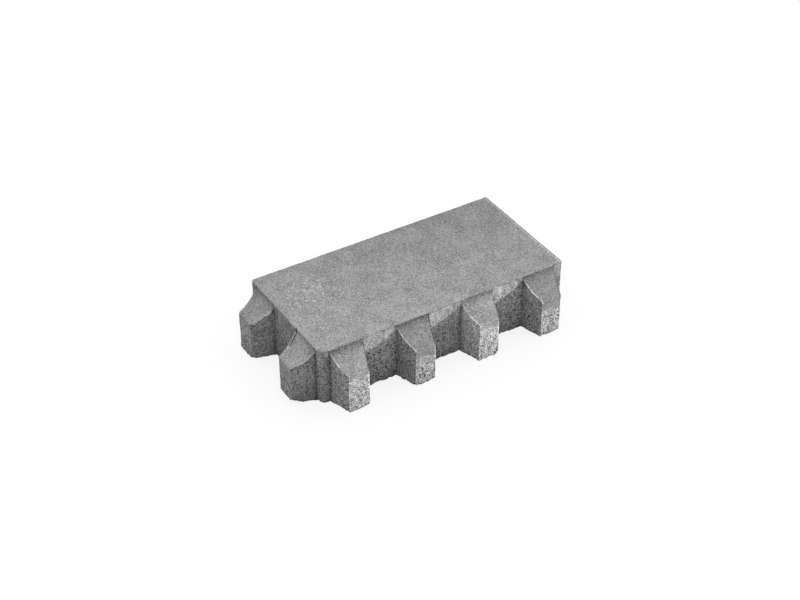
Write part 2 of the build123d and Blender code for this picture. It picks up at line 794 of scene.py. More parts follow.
        edge = np.concatenate([np.full(count, foot), np.zeros(len(border))])
        value = np.full(len(both), skin.value)
        return [grid, Patch(strip, tris[:, ::-1] if below else tris, value, np.zeros(len(both)), edge)]

    def build(self) -> None:
        """Makes every patch and welds them: points that agree to a thousandth of a millimetre are one."""
        patches = [self.wall_patch(), self.shoulder_patch()]
        for wall, lug in self.lugs():
            patches += self.lug_patches(wall, lug)
        patches += self.cap_patches(self.height, self.arris, self.top_cell, Skin.PRESSED, 0.0)
        patches += self.cap_patches(0.0, 0.0, self.under_cell, Skin.DRAWN, 1.0)
        points = np.concatenate([p.points for p in patches])
        key = np.floor(points * 1000 + 0.3183).astype(np.int64)
        _, first, same = np.unique(key, axis=0, return_index=True, return_inverse=True)
        same = same.ravel()
        count = len(first)
        starts = np.cumsum([0] + [len(p.points) for p in patches])
        faces = [same[p.faces + s] for p, s in zip(patches, starts)]
        self.points = points[first]
        self.rest = points[first].copy()
        self.quads = np.concatenate([f for f in faces if f.shape[1] == 4])
        self.tris = np.concatenate([f for f in faces if f.shape[1] == 3])
        share = np.bincount(same, minlength=count)
        pressed = np.concatenate([p.pressed for p in patches])
        self.pressed = np.bincount(same, weights=pressed, minlength=count) / share
        self.burr, self.foot = np.zeros(count), np.zeros(count)
        np.maximum.at(self.burr, same, np.concatenate([p.burr for p in patches]))
        np.maximum.at(self.foot, same, np.concatenate([p.foot for p in patches]))
        self.tone = np.ones(count)
        self.pore, self.voids, self.flecks = np.zeros(count), np.zeros(count), np.zeros(count)
        LOG.info("shell: %d points, %d triangles", count, 2 * len(self.quads) + len(self.tris))

    def zones(self, wall: Wall, lug: LugPlace) -> LugZones:
        """Finds the points of the unworn shell that lie on one lug's top, tip and flanks.

        Args:
            wall: the lug's wall.
            lug: the lug.
        Returns:
            Where every point of the shell lies on the lug.
        """
        reach = self.lug.reach
        flat, z = self.rest[:, :2], self.rest[:, 2]
        along = flat @ np.array(wall.along) - lug.centre
        out = flat @ np.array(wall.out) - wall.offset
        half = self.lug.half_width(np.clip(out, 0, reach))
        near = (np.abs(along) < half + 0.01) & (out > -0.8) & (out < reach + 0.01)
        top = near & (z > np.interp(out, *self.lug.profile()) - 0.01)
        tip = near & (out > reach - 0.01) & ~top
        flank = near & (np.abs(along) > half - 0.01) & (out > 0.01) & ~top & ~tip
        return LugZones(along, out, half, top, tip, flank)

    def edges(self) -> Array:
        """Lists the shell's edges.

        Returns:
            Every edge once, as a pair of point indices.
        """
        sides = [self.quads[:, [i, (i + 1) % 4]] for i in range(4)]
        sides += [self.tris[:, [i, (i + 1) % 3]] for i in range(3)]
        return np.unique(np.sort(np.concatenate(sides), axis=1), axis=0)

    def normals(self) -> Array:
        """Outward direction at each point: the sum of its faces' area vectors.

        Returns:
            One unit vector for each point.
        """
        p = self.points
        total = np.zeros_like(p)
        q, t = self.quads, self.tris
        flat = np.cross(p[q[:, 2]] - p[q[:, 0]], p[q[:, 3]] - p[q[:, 1]])
        side = np.cross(p[t[:, 1]] - p[t[:, 0]], p[t[:, 2]] - p[t[:, 0]])
        for faces, area in ((q, flat), (t, side)):
            for corner in range(faces.shape[1]):
                np.add.at(total, faces[:, corner], area)
        return total / np.maximum(np.linalg.norm(total, axis=1, keepdims=True), 1e-9)

    def wear(self, weight: Array, rounds: int) -> None:
        """Rounds outer edges and leaves flats and inner corners as they are.

        Each point moves towards the mean of its neighbours, but only as far as that leads inwards.

        Args:
            weight: share of the way for each point.
            rounds: how often.
        """
        pairs = self.edges()
        count = len(self.points)
        degree = np.bincount(pairs.ravel(), minlength=count)[:, None]
        for _ in range(rounds):
            total = np.zeros_like(self.points)
            for axis in range(3):
                value = self.points[:, axis]
                total[:, axis] = np.bincount(pairs[:, 0], weights=value[pairs[:, 1]], minlength=count)
                total[:, axis] += np.bincount(pairs[:, 1], weights=value[pairs[:, 0]], minlength=count)
            facing = self.normals()
            inward = np.minimum(((total / degree - self.points) * facing).sum(axis=1), 0)
            self.points += (weight * inward)[:, None] * facing


@dataclass(frozen=True)
class Tones:
    """Brightness of the concrete's stretches, much of it painted light and shade. A gain or loss is a
    share of the brightness there.

    Attributes:
        face: brightness in the middle of the wearing face.
        face_fall: what it loses from there to the plain end, and to the plain side.
        front_edge: loss along the face's front edge, painted shade against the lamp's light on the arris.
        wall: gain of a wall's upper part.
        streak: gain or loss in the streaks from the draw.
        under_edge_shade: loss in the broken line of painted shade just under the front edge.
        dull: painted shade on the front wall beside the plain end.
        end: painted shade on the lugged end's wall.
        ground: painted shade on a wall near the ground.
        tip_ground: painted shade on a tip near the ground.
        foot: painted shade on every face right on the ground.
        nose: painted shade on a slope towards its nose.
        rim: gain of the painted highlight down a tip's second edge.
        even_tip: brightness of a tip whose first edge is as pale as the rest of it.
        first_edge: gain of that edge for each unit by which a tip is brighter than even_tip.
        patch: loss in the patches low on a tip.
        lump: gain or loss in the lumps on a tip.
        lit_flank: the most that a flank which faces the lamp has, a cap of painted shade.
        layer: gain or loss in the layers on a flank.
        lip: brightness of a lip, as a factor of its slope's, painted light.
        lip_shadow: loss in the line of painted shadow under a lip.
        groove: painted shade in a groove.
        seam: loss in a seam.
        crease: painted shade in the inner corners beside the lugs.
        tight: painted shade in the last millimetres of an inner corner, and what is added beside the
            rounded corner and beside the plain end.
        glow: painted light on the front wall on a lug's lit side.
    """

    face: float = 0.925
    face_fall: tuple[float, float] = (0.065, 0.10)
    front_edge: float = 0.16
    wall: float = 0.05
    streak: float = 0.4
    under_edge_shade: float = 0.5
    dull: float = 0.33
    end: float = 0.23
    ground: float = 0.42
    tip_ground: float = 0.22
    foot: float = 0.36
    nose: float = 0.03
    rim: float = 0.5
    even_tip: float = 1.28
    first_edge: float = 1.6
    patch: float = 0.20
    lump: float = 0.06
    lit_flank: float = 0.95
    layer: float = 0.10
    lip: float = 1.9
    lip_shadow: float = 0.5
    groove: float = 0.93
    seam: float = 0.55
    crease: float = 0.31
    tight: tuple[float, float, float] = (0.14, 0.26, 0.2)
    glow: float = 0.06


@dataclass
class PressMarks:
    """What pressing, drawing from the mould and handling leave on the shell, and the painted light and
    shade on it.

    Heights and depths are in millimetres. Each mark is laid over the ones before it.

    Attributes:
        shell: the shell that is marked.
        low: lowest corner of the box that the shell stays in.
        high: highest corner of that box.
        tones: brightness of the stretches, with painted light and shade.
        pits: the kinds of pits on open concrete.
        cluster: middle of the cluster of pale flecks in plan.
        cluster_size: distances from it in which the flecks grow fewer.
        streaks: streaks on the upper walls.
        under_edge_gaps: where the line of painted shade under the front edge is broken.
        openness: where the walls have more voids.
        ragged: unevenness of lips and of the burrs' brightness.
        patches: dark patches on the tips.
        tip_lumps: lumps on the tips.
        layers: layers on the flanks.
        burr_line: unevenness of the burrs' height.
        seam_line: waver of a seam.
        seam_gaps: where a seam is closed.
        crumbs: what the lower edge has lost.
        rough_break: roughness of a broken corner.
        sways: shift of the shell along each axis.
        swell: broad waves of drawn faces.
        drag: drag marks on drawn faces.
        grain: grain of drawn faces.
        sand: grain of pressed faces.
    """

    shell: PaverShell
    low: Array
    high: Array
    tones: Tones = Tones()
    pits: tuple[Pits, ...] = (Pits(5.2, 0.6, 1.9, 1.1), Pits(3.0, 0.6, 1.3, 0.8))
    cluster: tuple[float, float] = (-125.0, 25.0)
    cluster_size: tuple[float, float] = (48.0, 42.0)
    streaks: Lumps = Lumps(4.0, 65, squeeze=0.2)
    under_edge_gaps: Lumps = Lumps(5.0, 61)
    openness: Lumps = Lumps(17.0, 63)
    ragged: Lumps = Lumps(6.0, 33)
    patches: Lumps = Lumps(6.0, 37)
    tip_lumps: Lumps = Lumps(8.0, 67)
    layers: Lumps = Lumps(12.0, 71, squeeze=1.8)
    burr_line: Lumps = Lumps(7.0, 5)
    seam_line: Lumps = Lumps(10.0, 91)
    seam_gaps: Lumps = Lumps(5.0, 93, 1)
    crumbs: Lumps = Lumps(5.0, 21, 3, 0.0)
    rough_break: Lumps = Lumps(4.0, 77)
    sways: tuple[Lumps, ...] = (Lumps(14.0, 41), Lumps(14.0, 42), Lumps(14.0, 43))
    swell: Lumps = Lumps(13.0, 3)
    drag: Lumps = Lumps(4.0, 4, squeeze=0.12)
    grain: Lumps = Lumps(2.7, 6, 1)
    sand: Lumps = Lumps(3.2, 8)

    def face_tone(self) -> Array:
        """Brightness of the wearing face: paler towards the lugged corner, with painted shade along the
        front edge.

        Returns:
            One factor for each point.
        """
        shell, tones = self.shell, self.tones
        x, y, _ = shell.rest.T
        along, across = tones.face_fall
        plane = tones.face - along * x / (shell.length / 2) - across * y / (shell.width / 2)
        # Painted shade on the front arris, where the lamp would light the rounded edge.
        front = ramp(-y, shell.width / 2 - 1.3, shell.width / 2 - 0.6)
        return plane * (1 - tones.front_edge * front)

    def side_tone(self) -> Array:
        """Brightness of a wall at each point, a little paler higher up."""
        return 1 + self.tones.wall * ramp(self.shell.rest[:, 2], 20.0, 60.0)

    def ground_shade(self) -> Array:
        """Nearness to the ground at each point, which falls off over 13 mm of height, for the painted
        shade there.
        """
        return np.exp(-self.shell.rest[:, 2] / 13)

    def shade(self) -> None:
        """Sets the brightness, with painted light and shade, and the openness of every stretch of the
        shell.
        """
        self.shade_block()
        for wall, lug in self.shell.lugs():
            zone = self.shell.zones(wall, lug)
            look = lug.look.value
            self.shade_slope(zone, look)
            self.shade_tip(zone, look)
            self.shade_flanks(zone, look)
            self.hang_lip(zone, look)
            self.shade_burrs(zone, look)
        self.shade_creases()

    def shade_block(self) -> None:
        """Tones of the plain block: skin on the wearing face, and walls with painted shade near the
        ground.

        Pale flecks lie on the face, most of them in one cluster. The walls' upper part is dense and
        streaked from the draw, with a broken line of painted shade under the front edge. Painted shade
        darkens the front beside the plain end and the lugged end's wall, and the corner between the
        lugged walls has few voids.
        """
        shell, tones = self.shell, self.tones
        x, y, z = shell.rest.T
        (mid_x, mid_y), (size_x, size_y) = self.cluster, self.cluster_size
        cluster = np.exp(-(((x - mid_x) / size_x) ** 2) - ((y - mid_y) / size_y) ** 2)
        shell.flecks = (0.3 + 1.1 * cluster) * (z > shell.height - 0.1)
        streak = 1 + tones.streak * ramp(z, 58.0, 66.0) * self.streaks.at(shell.rest)
        # A broken line of painted shade on the front wall just under the front edge.
        broken = np.clip(0.8 + 0.9 * self.under_edge_gaps.at(shell.rest), 0, 1)
        under_edge_shade = 1 - tones.under_edge_shade * broken * ramp(z, 77.0, 77.8) * (y < 0.5 - shell.width / 2)
        # Painted shade on the front wall beside the plain end, and on the lugged end's wall.
        beside = ramp(x, shell.side_edge() - 1.2, shell.side_edge() + 1.8) * (y < 5.5 - shell.width / 2)
        dull = 1 - tones.dull * beside * (1 - ramp(z, 77.5, 79.5))
        end_wall = (x < 0.1 - shell.length / 2) * ramp(y, 0.25 - shell.end_edge(), 4.25 - shell.end_edge())
        wall = self.side_tone() * dull * (1 - tones.end * end_wall) * under_edge_shade * streak
        # Painted shade on the walls near the ground.
        wall *= 1 - tones.ground * self.ground_shade()
        shell.tone = np.where(shell.pressed > 0.6, self.face_tone(), wall)
        pillar = (x < 1 - shell.side_edge()) & (y < 1.25 - shell.end_edge())
        uneven = np.minimum(1.03 + 0.35 * self.openness.at(shell.rest), 1.2)
        dense = ramp(z, 52.0, 66.0)
        shell.voids = (1 - shell.pressed) * np.where(pillar, 0.35, uneven * (1 - dense) - 0.2 * dense)

    def shade_slope(self, zone: LugZones, look: LugMarks) -> None:
        """Tones of a lug's top, with painted shade in the hollow and towards the nose, and of the strip of
        wall that leads up to the face.

        Args:
            zone: where the points lie on the lug.
            look: what the press left on it.
        """
        shell = self.shell
        z = shell.rest[:, 2]
        face = self.face_tone()
        # Painted shade in the hollow where the top meets the wall.
        hollow = look.hollow_shade * np.exp(-np.maximum(zone.out, 0) / 4.0)
        slope = face + (look.slope_tone * (1 - hollow) - face) * (1 - ramp(z, 78.2, 79.6))
        # Painted shade on the slope towards its nose.
        slope *= 1 - self.tones.nose * ramp(zone.out, 14.0, 26.0)
        shell.tone = np.where(zone.top, slope, shell.tone)
        at_wall = zone.top & (zone.out < 1.3) & (z < 79.0)
        shell.voids = np.where(at_wall, 0.75, shell.voids)

    def shade_tip(self, zone: LugZones, look: LugMarks) -> None:
        """Tones of a lug's tip: fine skin above, then open concrete with more voids lower down.

        A painted highlight runs down its second edge, the side towards the lamp, and painted shade darkens
        it near the ground. Its first edge is paler still on a pale tip, and darker on a dark one. Dark
        patches lie low on a tip that was filled in one go.

        Args:
            zone: where the points lie on the lug.
            look: what the press left on it.
        """
        shell, tones = self.shell, self.tones
        z = shell.rest[:, 2]
        crest = 54.0
        first, second = zone.half + zone.along, zone.half - zone.along
        # Painted highlight down the tip's second edge, on the side towards the lamp.
        rim = zone.tip * (1 - ramp(second, 1.2, 2.6)) * ramp(z, crest - look.rim, crest + 2 - look.rim)
        first_rim = tones.first_edge * (look.tip_tone - tones.even_tip) * (1 - ramp(first, 0.7, 1.5))
        patchy = tones.patch * ramp(self.patches.at(shell.rest), 0.1, 0.8) * (1 - ramp(z, 14.0, 40.0))
        lumps = tones.lump * self.tip_lumps.at(shell.rest) * (1 - shell.pressed)
        tip = look.tip_tone + shell.pressed * (look.slope_tone - look.tip_tone)
        # Painted shade on the tip near the ground, and the painted highlight down its second edge.
        tip *= (1 - tones.tip_ground * self.ground_shade()) * (1 + tones.rim * rim + first_rim)
        tip *= (1 - patchy * (look.seam == 0)) * (1 + lumps)
        shell.tone = np.where(zone.tip, tip, shell.tone)
        opened = 1.0 - 0.75 * ramp(z, 18.0, 50.0) + 0.1 * (z < look.seam)
        shell.voids = np.where(zone.tip, opened * (1 - shell.pressed) * (1 - 0.8 * rim), shell.voids)

    def shade_flanks(self, zone: LugZones, look: LugMarks) -> None:
        """Tones of a lug's two flanks, in faint level layers, with painted shade that caps the one that
        faces the lamp and painted shade near the ground.

        Args:
            zone: where the points lie on the lug.
            look: what the press left on it.
        """
        shell, tones = self.shell, self.tones
        # Painted shade: the flank that faces the lamp is held down to lit_flank.
        lit_tone = min(look.flank_tone, tones.lit_flank)
        flank = np.where(zone.along < 0, self.side_tone() * look.flank_tone, lit_tone)
        # Painted shade on the flanks near the ground.
        flank *= 1 - look.ground_loss * self.ground_shade()
        flank *= 1 + tones.layer * self.layers.at(shell.rest)
        shell.tone = np.where(zone.flank, flank, shell.tone)
        shell.voids = np.where(zone.flank, look.voids, shell.voids)

    def hang_lip(self, zone: LugZones, look: LugMarks) -> None:
        """Paints the slope's skin hanging unevenly over the second flank, with painted light on it and a
        line of painted shadow under it.

        Args:
            zone: where the points lie on the lug.
            look: what the press left on it.
        """
        shell, tones = self.shell, self.tones
        below = np.interp(zone.out, *shell.lug.profile()) - shell.rest[:, 2]
        second = zone.flank * (zone.along > 0) * (look.lip > 0)
        past = below - look.lip * (0.7 + 1.3 * self.ragged.at(shell.rest))
        hang = (1 - ramp(past, -0.7, 0.7)) * second
        # Painted shadow in a line under the lip.
        shell.tone *= 1 - tones.lip_shadow * second * ramp(past, -0.2, 0.6) * (1 - ramp(past, 1.0, 2.6))
        # Painted light on the lip, brighter than its slope.
        shell.tone += hang * (tones.lip * look.slope_tone - shell.tone)
        shell.pressed = np.maximum(shell.pressed, hang)

    def shade_burrs(self, zone: LugZones, look: LugMarks) -> None:
        """Paints a highlight on a burr whose gleam is above 0 and shade on one whose gleam is below, and
        paints shade in the groove behind one.

        Beside a groove both burrs fade out where it ends.

        Args:
            zone: where the points lie on the lug.
            look: what the press left on it.
        """
        shell = self.shell
        uneven = np.clip(0.9 + 0.9 * self.ragged.at(shell.rest), 0.1, 1.3)
        fade = 1 - ramp(zone.out, look.groove, look.groove + 5.0) * (look.groove > 0)
        # Painted highlight on each burr with a gleam above 0, painted shade on one below 0.
        for edge, gleam in zip((zone.half + zone.along, zone.half - zone.along), look.gleam):
            line = zone.top * (1 - ramp(edge, 1.2, 2.2)) * ramp(zone.out, -0.2, 0.6)
            shell.tone *= 1 + gleam * line * fade * uneven
        # Painted shade in the groove.
        shell.tone *= 1 - self.tones.groove * self.groove(zone, look)

    def shade_creases(self) -> None:
        """Paints shade into the inner corners beside the lugs, and onto every face where it meets the
        ground.

        The front wall's upper part on a lug's second, lit side gets a little painted light there, not
        shade.
        """
        shell, tones = self.shell, self.tones
        x, y, z = shell.rest.T
        crease = np.full(len(x), 99.0)
        glow = np.zeros(len(x))
        for wall, lug in shell.lugs():
            zone = shell.zones(wall, lug)
            gap = np.hypot(np.abs(zone.along) - shell.lug.root / 2, zone.out)
            lit = (zone.along > 0) * (wall.out[1] < 0) * ramp(z, 50.0, 64.0)
            crease = np.minimum(crease, gap + 40 * lit)
            glow = np.maximum(glow, lit * np.exp(-gap / 14) * (zone.out < 0.01))
        anywhere, at_corner, at_plain_end = tones.tight
        corner = (x < 7 - shell.side_edge()) & (y < 6.25 - shell.end_edge())
        tight = anywhere + at_corner * corner + at_plain_end * (x > shell.side_edge() - 7)
        # Painted shade in the inner corners beside the lugs.
        inner = tones.crease * np.exp(-crease / 9) + tight * np.exp(-crease / 1.5)
        shell.tone *= 1 - inner * (1 - ramp(z, 76.0, 79.5)) * (shell.burr == 0)
        # Painted light on the front wall beside a lug's lit side.
        shell.tone *= 1 + tones.glow * glow * (z < 77.5)
        # Painted shade on every face right at the ground.
        shell.tone *= 1 - tones.foot * np.exp(-z / 2.2)

    def groove(self, zone: LugZones, look: LugMarks) -> Array:
        """Share of the groove behind the first edge's burr: 1 in its middle, which is 1.8 mm in.

        Args:
            zone: where the points lie on the lug.
            look: what the press left on it.
        Returns:
            One share for each point, 0 on a lug without a groove.
        """
        inside = zone.along + zone.half
        across = np.clip(1.5 - np.abs(inside - 1.8), 0, 1)
        ends = 1 - ramp(zone.out, look.groove - 3, look.groove + 0.1)
        return zone.top * across * ends * (look.groove > 0)

    def wear_edges(self) -> None:
        """Rounds the outer edges, most along the ground and hardly at all where burrs stand."""
        shell = self.shell
        weight = (0.50 - 0.38 * shell.pressed + 0.3 * shell.foot) * (1 - 0.8 * np.clip(shell.burr, 0, 1))
        shell.wear(np.clip(weight, 0.05, 0.8), 5)

    def raise_burrs(self) -> None:
        """Lifts the edges of the lugs' slopes into thin uneven burrs."""
        shell = self.shell
        uneven = np.clip(0.75 + 0.6 * self.burr_line.at(shell.rest), 0.0, 1.4)
        shell.points[:, 2] += shell.burr * uneven

    def cut_seams(self) -> None:
        """Cuts the broken dark seam across a tip that was filled in two goes, and the grooves at burrs.

        The seam is up to a millimetre deep and wavers about its height. So deep is the groove too.
        """
        shell = self.shell
        waver = 2.0 * self.seam_line.at(shell.rest)
        broken = ramp(self.seam_gaps.at(shell.rest), -0.4, 0.3)
        for wall, lug in shell.lugs():
            look = lug.look.value
            zone = shell.zones(wall, lug)
            gap = np.abs(look.seam + waver - shell.rest[:, 2])
            crack = np.clip(1.2 - gap, 0, 1) * broken * zone.tip * (look.seam > 0)
            shell.points[:, :2] -= crack[:, None] * np.array(wall.out)
            shell.tone *= 1 - self.tones.seam * crack
            shell.points[:, 2] -= self.groove(zone, look)

    def fray_foot(self) -> None:
        """Lifts the lower edge unevenly, where crumbs stayed in the mould, least at the lugged end."""
        shell = self.shell
        lost = np.clip(0.3 + 1.2 * self.crumbs.at(shell.rest), 0, 1.6)
        depth = 0.5 + 1.3 * ramp(shell.rest[:, 0], -150.0, -115.0)
        shell.points[:, 2] += depth * lost * shell.foot

    def break_corners(self) -> None:
        """Breaks the chips off the lugs' feet, and the far corner off the wearing face's lugged end."""
        shell = self.shell
        for wall, lug in shell.lugs():
            for chip in lug.look.value.chips:
                out = chip.reach * shell.lug.reach
                plan = wall.place(lug.centre + chip.side * shell.lug.half_width(out), out)
                along, away, up = chip.facing
                flat = along * np.array(wall.along) + away * np.array(wall.out)
                self.break_off(np.append(plan, 0.0), np.append(flat, up), chip.depth, chip.size)
        far_corner = np.array([-shell.length / 2, shell.width / 2, shell.height])
        self.break_off(far_corner, np.array([-0.60, 0.40, 0.60]), 2.2, 8.0)

    def break_off(self, corner: Array, facing: Array, depth: float, size: float) -> None:
        """Brings what stands beyond a plane near a corner back to the plane, with a rough break.

        Args:
            corner: the unbroken corner in millimetres.
            facing: direction out of the broken face.
            depth: distance of the plane from the corner.
            size: radius of the ball that the break stays in.
        """
        p = self.shell.points
        facing = facing / np.linalg.norm(facing)
        away = p - corner
        over = away @ facing + depth + 0.7 * self.rough_break.at(p)
        near = np.linalg.norm(away, axis=1) < size
        p -= np.where(near & (over > 0), over, 0)[:, None] * facing

    def sway(self) -> None:
        """Shifts every point a little by a smooth random vector, so that no edge is quite straight."""
        p = self.shell.points
        self.shell.points = p + 0.2 * np.stack([lumps.at(p) for lumps in self.sways], axis=1)

    def open_pores(self) -> None:
        """Sinks the skin along its normals: pits and drag marks on drawn faces, faint grain elsewhere.

        A pit's depth falls with the square of the distance from its middle. The mould's plane is the
        highest level, so what would stand proud of it stays flat.
        """
        shell = self.shell
        p = shell.points
        drawn = 1 - shell.pressed
        upper = ramp(p[:, 2], 48.0, 60.0)
        waves = 0.2 * self.swell.at(p) + (0.18 + 0.14 * upper) * self.drag.at(p)
        waves += (0.3 - 0.2 * upper) * self.grain.at(p)
        pits = np.zeros(len(p))
        for seed, pit in enumerate(self.pits):
            gap, label = nearest_grain(p, pit.cell, 50 + 10 * seed)
            size = np.where(label < pit.share, pit.radius * (0.4 + 0.6 * (label / pit.share) ** 2), 1e-6)
            pits = np.maximum(pits, pit.depth * np.clip(1 - (gap / size) ** 2, 0, 1))
        pits *= np.clip(shell.voids, 0.1, 1.1)
        sunk = drawn * np.maximum(0, 0.15 + waves + pits)
        sunk += shell.pressed * np.maximum(0, 0.03 + 0.06 * self.sand.at(p))
        shell.points = p - sunk[:, None] * shell.normals()
        # Painted shade in the pits, darker where a pit is deeper.
        shell.pore = np.clip(drawn * 0.6 * pits, 0, 1)

    def apply(self) -> None:
        """Applies every mark in the order in which it comes about, and keeps the shell in its box."""
        self.shade()
        self.wear_edges()
        self.raise_burrs()
        self.cut_seams()
        self.fray_foot()
        self.break_corners()
        self.sway()
        self.open_pores()
        self.shell.points = np.clip(self.shell.points, self.low, self.high)


# Finishes


def add_node(
    tree: Tree, kind: str, sockets: dict[int | str, object] | None = None, **settings: object
) -> bpy.types.Node:
    """Adds a node, sets its properties, and sets or links its input sockets.

    Args:
        tree: node tree of a material or the world.
        kind: node type.
        sockets: a value, or another node's output, for each named or numbered input.
        settings: properties of the node.
    Returns:
        The new node.
    """
    node = tree.nodes.new(kind)
    for name, value in settings.items():
        setattr(node, name, value)
    for key, value in (sockets or {}).items():
        if isinstance(value, Socket):
            tree.links.new(value, node.inputs[key])
        else:
            node.inputs[key].default_value = value
    return node


def fresh_tree(owner: bpy.types.Material | bpy.types.World) -> Tree:
    """Turns nodes on and empties the owner's node tree.

    Args:
        owner: a new material or world.
    Returns:
        Its node tree.
    """
    owner.use_nodes = True
    owner.node_tree.nodes.clear()
    return owner.node_tree


def per_metre(size: float) -> float:
    """A texture's scale for a pattern of this size in millimetres."""
    return 1 / (size * MM)


def reckon(tree: Tree, operation: str, *values: Socket | float) -> Socket:
    """The result of a sum or other operation on several values."""
    return add_node(tree, "ShaderNodeMath", dict(enumerate(values)), operation=operation).outputs[0]


def span(
    tree: Tree, value: Socket, low: float, high: float, first: float = 0.0, last: float = 1.0
) -> Socket:
    """Takes a value from the range low..high to the range first..last, and holds it there."""
    return add_node(tree, "ShaderNodeMapRange", {0: value, 1: low, 2: high, 3: first, 4: last}).outputs[0]


def blend(tree: Tree, share: Socket, first: object, second: object) -> Socket:
    """A colour that goes from the first to the second with the share."""
    return add_node(tree, "ShaderNodeMix", {0: share, 6: first, 7: second}, data_type="RGBA").outputs[2]


def weighted(tree: Tree, parts: list[tuple[Socket, float]], start: float = 0.0) -> Socket:
    """The sum of several values, each times its weight, and of a value to start from.

    Args:
        tree: node tree of a material.
        parts: values and their weights.
        start: the value to start from.
    Returns:
        The sum.
    """
    total: Socket | float = start
    for value, weight in parts:
        total = reckon(tree, "MULTIPLY_ADD", value, weight, total)
    return total


def colour_steps(tree: Tree, share: Socket, steps: tuple[tuple[float, str], ...]) -> Socket:
    """A colour for each share, blended between steps of a place in 0..1 and a hex colour.

    Args:
        tree: node tree of a material.
        share: the value that picks the colour.
        steps: places and colours, rising.
    Returns:
        The colour output.
    """
    node = add_node(tree, "ShaderNodeValToRGB", {0: share})
    marks = node.color_ramp.elements
    while len(marks) < len(steps):
        marks.new(1.0)
    for mark, (place, code) in zip(marks, steps):
        mark.position = place
        mark.color = linear(code)
    return node.outputs[0]


